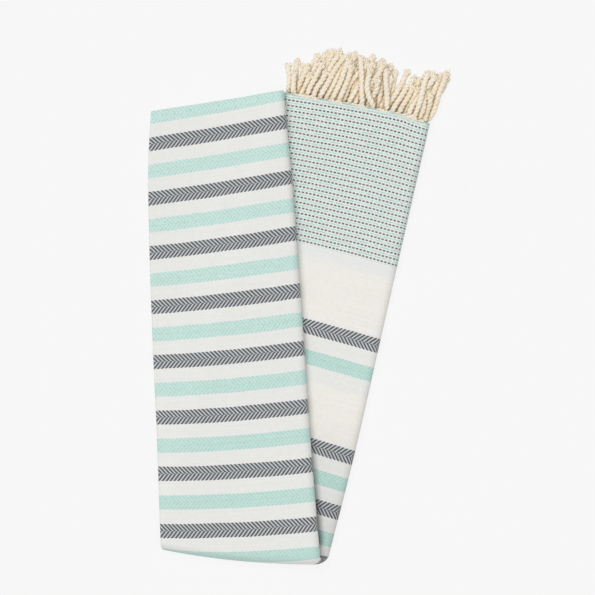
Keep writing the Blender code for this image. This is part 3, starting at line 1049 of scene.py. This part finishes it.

# The yarn's colour over its plain ecru. The depth and crowd rows are painted shade: golden in the
# grooves between a cord's plies and in a knot's middle, brown where cords touch or lie under others.
# Columns: what it goes by, from where to where, share, colour
YARN_COLOURS = (
    ("tint", 0.10, 0.90, 1.0, ECRU_WARM),
    ("fibres", 0.35, 0.75, 1.0, ECRU_PALE),
    ("patches", 0.50, 0.80, 0.5, ECRU_DEEP),
    # painted shade in the grooves between plies and in a knot's middle
    ("depth", 0.20, 0.85, 1.0, GOLDEN),
    # painted shade where cords touch or lie under others
    ("crowd", 0.40, 1.00, 0.7, BROWN),
)
FIBRE_SCALES = (9.0, 520.0, 40.0)  # round the yarn, along it and from yarn to yarn
FIBRE_WIND = 3.0
PATCH_SCALES = (90.0, 60.0)  # along a yarn and from yarn to yarn
FRINGE_RELIEF = 0.00028
# Painted shade: covered cords are painted browner near the hem: how far from it, how covered, and the
# share of brown
ROOT_REACH = (0.004, 0.022)
ROOT_CROWD = (0.2, 0.8)
ROOT_SHARE = 0.5
# Painted light: a glow given to the hollows between cords, in place of the light that fibres pass on
# into them, and the share of it in the hollows between a cord's own plies and on the loose ends
HOLLOW_GLOW = (0.045, 0.032, 0.009, 1.0)
HOLLOW_CROWD = (0.3, 1.0)
HOLLOW_DEPTH = (0.1, 0.8)
HOLLOW_SHARE = 0.6


def stripes(g, across, along):
    """The herringbone stripes: their places, their lines and which of them are teal."""
    early = g.math("LESS_THAN", along, (FIRST_TEAL + FIRST_STRIPE) / 2)
    number = g.math("MAXIMUM", g.math("ROUND", (along - FIRST_STRIPE) / STRIPE_PITCH), 0.0)
    teal_first = g.math("GREATER_THAN", along, (FIRST_DARK + FIRST_TEAL) / 2)
    early_centre = teal_first * (FIRST_TEAL - FIRST_DARK) + FIRST_DARK
    centre = pick(early, number * STRIPE_PITCH + FIRST_STRIPE, early_centre)
    teal = pick(early, g.math("MODULO", number, 2.0), teal_first)
    beyond = along - centre
    apart = abs(beyond)
    second_half = g.math("GREATER_THAN", beyond, 0.0)
    slanted = across - apart * CHEVRON_SLANT + second_half * (CHEVRON_PITCH / 2)
    line = g.wave(slanted, CHEVRON_PITCH)
    rounded = apart + line * line * CHEVRON_ROUNDING
    inside = g.fall(rounded, *(STRIPE_HALF + fade for fade in STRIPE_FADE))
    share = teal * (CHEVRON_TEAL_SHARE - CHEVRON_DARK_SHARE) + CHEVRON_DARK_SHARE
    return inside, g.fall(line, share - CHEVRON_SOFT, share + CHEVRON_SOFT), teal


def dashes(g, across, along):
    """The rows of dashes: the dashes themselves and the pale thread they lie in."""
    row = g.math("ROUND", (along - DASH_START) / DASH_ROW_PITCH)
    row = g.math("MINIMUM", g.math("MAXIMUM", row, 0.0), DASH_ROWS - 1.0)
    apart = abs(along - row * DASH_ROW_PITCH - DASH_START)
    uneven = g.random(g.math("FLOOR", across / DASH_PITCH), row)
    reach = (uneven * DASH_UNEVEN + (1 - DASH_UNEVEN / 2)) * (DASH_LENGTH / DASH_PITCH)
    end_fade, side_fade = DASH_FADES
    length = g.fall(g.wave(across, DASH_PITCH) - reach, -end_fade, end_fade)
    height = g.fall(apart, DASH_HEIGHT / 2 - side_fade, DASH_HEIGHT / 2 + side_fade)
    dash = length * height * (1.0 - uneven * DASH_WEAR)
    return dash, g.fall(apart, DASH_HEIGHT * DASH_GAP_SHARE, DASH_HEIGHT)


def edge_shade(g):
    """Painted shadow: the share of the light that the front leg's right edge takes from the cloth
    beside it.
    """
    x, y = g.plan()
    (low_x, low_y), (high_x, high_y) = FRONT_LEG[:2, 2:].tolist()
    slope = (high_x - low_x) / (high_y - low_y)
    beside = x - y * slope + (slope * low_y - low_x)
    below = y * -1.0
    share = sum(g.rise(below, start, end) * added for start, end, added in EDGE_SHADES)
    return g.fall(beside, *EDGE_SHADE_REACH) * share


def wander(g, value, spot, scale, reach):
    """A value that strays a little from place to place."""
    return value + (g.noise(spot, scale) - 0.5) * reach


def speckle(g, vector, scale):
    return g.rise(g.noise(vector, scale, 1.0), *NOISE_BAND)


def mint_ground(g, across, spot, weft, warp):
    """The dash rows' ground: pale cotton with mint threads, and more mint at the spine as painted
    shade.
    """
    grid = g.rise(weft, *MINT_WEFTS) * scaled(warp, *MINT_BY_WARP)
    grid *= scaled(speckle(g, spot, SPOT_SCALE), *MINT_BY_SPOT)
    # painted shade of the spine's rounded edge, given as more mint
    spine_shade = g.rise(across, *(SPINE_FABRIC - distance for distance in SPINE_SHADE_REACH))
    grid += scaled(spine_shade, *MINT_BY_SPINE_SHADE)
    return g.blend(grid, MINT_PALE, MINT_THREAD)


def plain_ground(g, along):
    """White at the hem, then cream, white, cream and white again."""
    cream = g.between(along, COOL_WHITE_END, CREAM_END, BAND_FADE)
    cream += g.between(along, WHITE_END, LAST_CREAM_END, LAST_CREAM_FADE)
    cool = g.fall(along, COOL_WHITE_END - BAND_FADE, COOL_WHITE_END + BAND_FADE)
    return g.blend(cream, g.blend(cool, WHITE, COOL_WHITE), CREAM)


def stripe_colour(g, across, along, thread, teal):
    dark_stripe = g.blend(thread, CHARCOAL_GAP, CHARCOAL)
    teal_ground = g.blend(g.rise(along, *TEAL_CHANGE), TEAL_DEEP, TEAL)
    grain = speckle(g, g.vector(across, along), GRAIN_SCALE)
    return g.blend(teal, dark_stripe, g.blend(thread * grain, teal_ground, TEAL_LINE))


def shaded(g, colour, wear_and_shade, length):
    """The colour with mottle and slub, and painted shade on the low back leg and beside the front leg.
    """
    back_leg = g.fall(length, *LOW_SHADE_END)
    shades = [g.rise(length, start, end) * lost for start, end, lost in LOW_SHADES]
    for lost in (*shades, edge_shade(g)):
        wear_and_shade *= 1.0 - back_leg * lost
    return g.blend(1.0, colour, g.vector(wear_and_shade, wear_and_shade, wear_and_shade), blend_type="MULTIPLY")


def cloth_material():
    """Flat-woven cotton: plain white and cream, rows of dashes, and herringbone stripes."""
    g = Graph("woven_cotton")
    across, length = g.places("fabric")
    spot = g.vector(across, length)
    along = g.math("MINIMUM", length, TOWEL_LENGTH - length)
    along = wander(g, along, spot, *ROW_WANDER)
    warped = wander(g, across, spot, *THREAD_WANDER)
    inside, thread, teal = stripes(g, warped, along)
    dash, gap = dashes(g, warped, along)
    pitch = DASH_ROW_PITCH / WEFTS_PER_ROW
    weft = g.wave(along, pitch, -DASH_START / pitch)
    warp = g.wave(across, THREAD_PITCH)
    across_scale, along_scale = SLUB_SCALES
    slub = g.noise(g.vector(across * across_scale, length * along_scale), 1.0, 1.0)
    mottle = g.noise(spot, MOTTLE_SCALE, 3.0)

    rows = g.blend(gap, mint_ground(g, across, spot, weft, warp), DASH_GAP)
    rows = g.blend(dash, rows, DASH)
    in_rows = g.fall(along, DASH_ZONE_END - DASH_ZONE_FADE, DASH_ZONE_END + DASH_ZONE_FADE)
    colour = g.blend(in_rows, plain_ground(g, along), rows)
    colour = g.blend(inside, colour, stripe_colour(g, across, along, thread, teal))
    # mottle and slub, with the painted shade of the back leg worked in
    colour = shaded(g, colour, scaled(mottle + slub, WORN, 1 - WORN), length)

    height = (weft + warp) * (WEAVE_RELIEF / 2) + mottle * MOTTLE_RELIEF
    height = height + inside * thread * CHEVRON_RELIEF + dash * DASH_RELIEF
    return g.finish(colour, height, CLOTH_RELIEF, roughness=0.88, sheen=0.12)


def fringe_material():
    """Unbleached cotton yarn, with its fibres wound the other way from the plies."""
    g = Graph("fringe_twine")
    along, around = g.places("thread")
    tint, depth = g.places("tint")
    crowd, loose = g.places("crowd")
    round_scale, along_scale, yarn_scale = FIBRE_SCALES
    wound = along * along_scale + around * FIBRE_WIND
    fibres = g.noise(g.vector(around * round_scale, wound, tint * yarn_scale), 1.0)
    along_scale, yarn_scale = PATCH_SCALES
    patches = g.noise(g.vector(along * along_scale, tint * yarn_scale), 1.0, 1.0)

    measures = {"tint": tint, "fibres": fibres, "patches": patches, "depth": depth, "crowd": crowd}
    colour = ECRU
    for name, low, high, share, over in YARN_COLOURS:
        colour = g.blend(g.rise(measures[name], low, high) * share, colour, over)
    # painted shade on covered cords near the hem
    root = g.fall(along, *ROOT_REACH) * g.rise(crowd, *ROOT_CROWD)
    colour = g.blend(root * ROOT_SHARE, colour, ROOT_BROWN)
    colour = g.blend(loose, colour, TIP)

    # painted light: a glow in the hollows between plies and cords, and on the loose ends
    own = g.math("MAXIMUM", g.rise(depth, *HOLLOW_DEPTH), loose) * HOLLOW_SHARE
    hollow = g.math("MAXIMUM", g.rise(crowd, *HOLLOW_CROWD), own)
    g.feed(g.shader, {"Emission Color": g.blend(hollow, BLACK, HOLLOW_GLOW), "Emission Strength": 1.0})
    return g.finish(colour, fibres, FRINGE_RELIEF, roughness=0.9, sheen=0.3)


def inside_outline(g, x, y, corners):
    """1 well inside a convex outline, given clockwise as seen from above, and 0 outside it."""
    share = 1.0
    for (ax, ay), (bx, by) in zip(corners, corners[1:] + corners[:1]):
        inward_x, inward_y = unit(np.array((by - ay, ax - bx))).tolist()
        depth = x * inward_x + y * inward_y - (ax * inward_x + ay * inward_y)
        share = g.math("MINIMUM", share, g.rise(depth, *FLOOR_SHADE_DEPTH))
    return share


def plain_floor():
    """A pale floor that glows a little, as a lit table does; under the towel its glow is off, as
    painted shade.
    """
    g = Graph("floor")
    x, y = g.plan()
    shade = 0.0
    for corners in towel_outlines():
        shade = g.math("MAXIMUM", shade, inside_outline(g, x, y, corners))
    g.feed(g.shader, {
        "Base Color": (FLOOR_GREY, FLOOR_GREY, FLOOR_GREY, 1.0),
        "Roughness": 1.0,
        "Specular IOR Level": 0.0,
        "Emission Color": g.blend(shade, PURE_WHITE, BLACK),
        "Emission Strength": FLOOR_GLOW,
    })
    return g.material


def towel_outlines():
    """The plan of each leg, clockwise."""
    for table in (BACK_LEG, FRONT_LEG[::-1]):
        top, bottom = table[0].tolist(), table[-1].tolist()
        yield [top[:2], top[2:], bottom[2:], bottom[:2]]


def add_window():
    """A wide soft light, as from a large window."""
    light = bpy.data.lights.new("window", "SUN")
    light.energy = WINDOW_STRENGTH
    light.angle = math.radians(WINDOW_SPREAD)
    add_object("window", light).rotation_euler = (*np.radians(WINDOW_TILT), 0.0)


def make_stage():
    mesh = bpy.data.meshes.new("floor")
    sides = (-FLOOR_HALF, FLOOR_HALF)
    corners = [(x, y, FLOOR_LEVEL) for y in sides for x in sides]
    mesh.from_pydata(corners, [], [(0, 1, 3, 2)])
    mesh.materials.append(plain_floor())
    add_object("floor", mesh)
    add_window()
    world = bpy.data.worlds.new("studio")
    world.use_nodes = True
    background = world.node_tree.nodes["Background"]
    background.inputs["Color"].default_value = PURE_WHITE
    background.inputs["Strength"].default_value = STUDIO_STRENGTH
    bpy.context.scene.world = world
    bpy.context.scene.view_settings.view_transform = "Standard"


def main():
    place_camera()
    cloth = make_cloth()
    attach(cloth, "root")
    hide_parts("towel_cloth")
    fringe = make_fringe()
    for piece, node in zip(fringe, ("fringe_first_end", "fringe_second_end")):
        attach(piece, "root")
        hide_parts(node)
    make_stage()


main()
